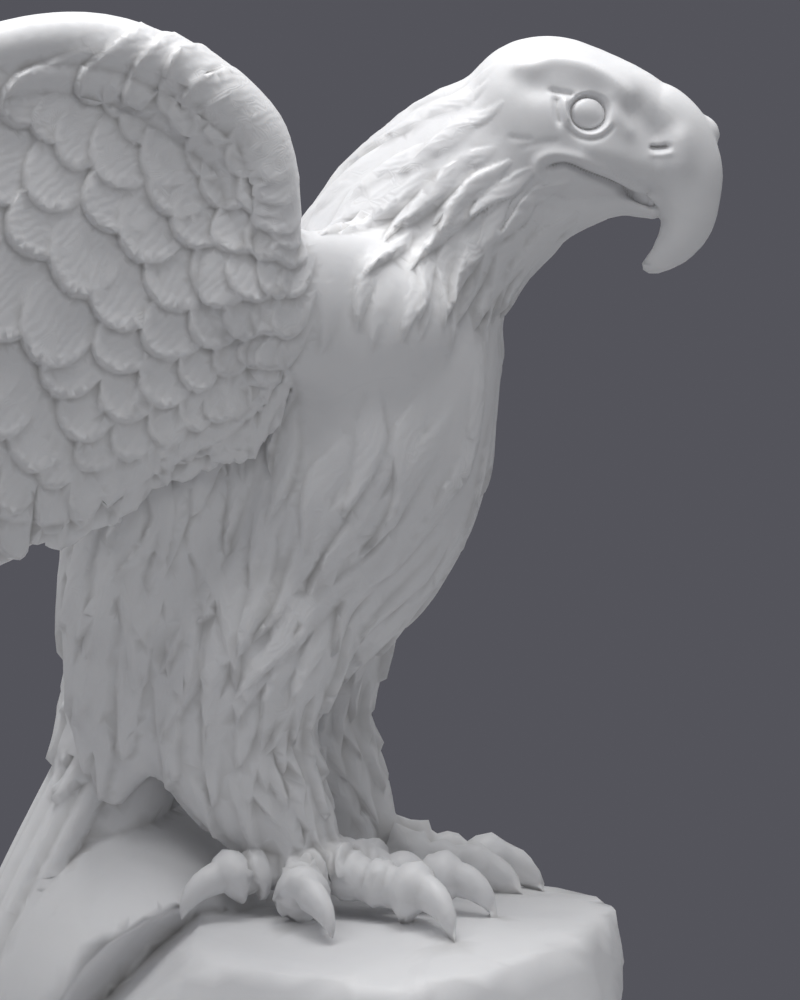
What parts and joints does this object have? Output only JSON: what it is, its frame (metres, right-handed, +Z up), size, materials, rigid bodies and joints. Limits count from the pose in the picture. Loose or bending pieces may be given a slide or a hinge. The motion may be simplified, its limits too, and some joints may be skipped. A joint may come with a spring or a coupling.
{
  "type": "marble eagle sculpture",
  "caption": "White marble eagle with raised wings and hooked beak, perched on a rough rock base, carved from one block and standing on its flat underside.",
  "frame": {"origin": "middle of the bounding box in plan, on the flat underside of the rock", "axes": "+Z up along the tallest extent; +X the way the eagle faces; Y across the body, the shortest extent"},
  "size_m": [0.5372, 0.426, 0.5919],
  "materials": {
    "marble": "satin"
  },
  "bodies": {
    "root": {"eagle_on_rock": "marble"}
  },
  "joints": []
}
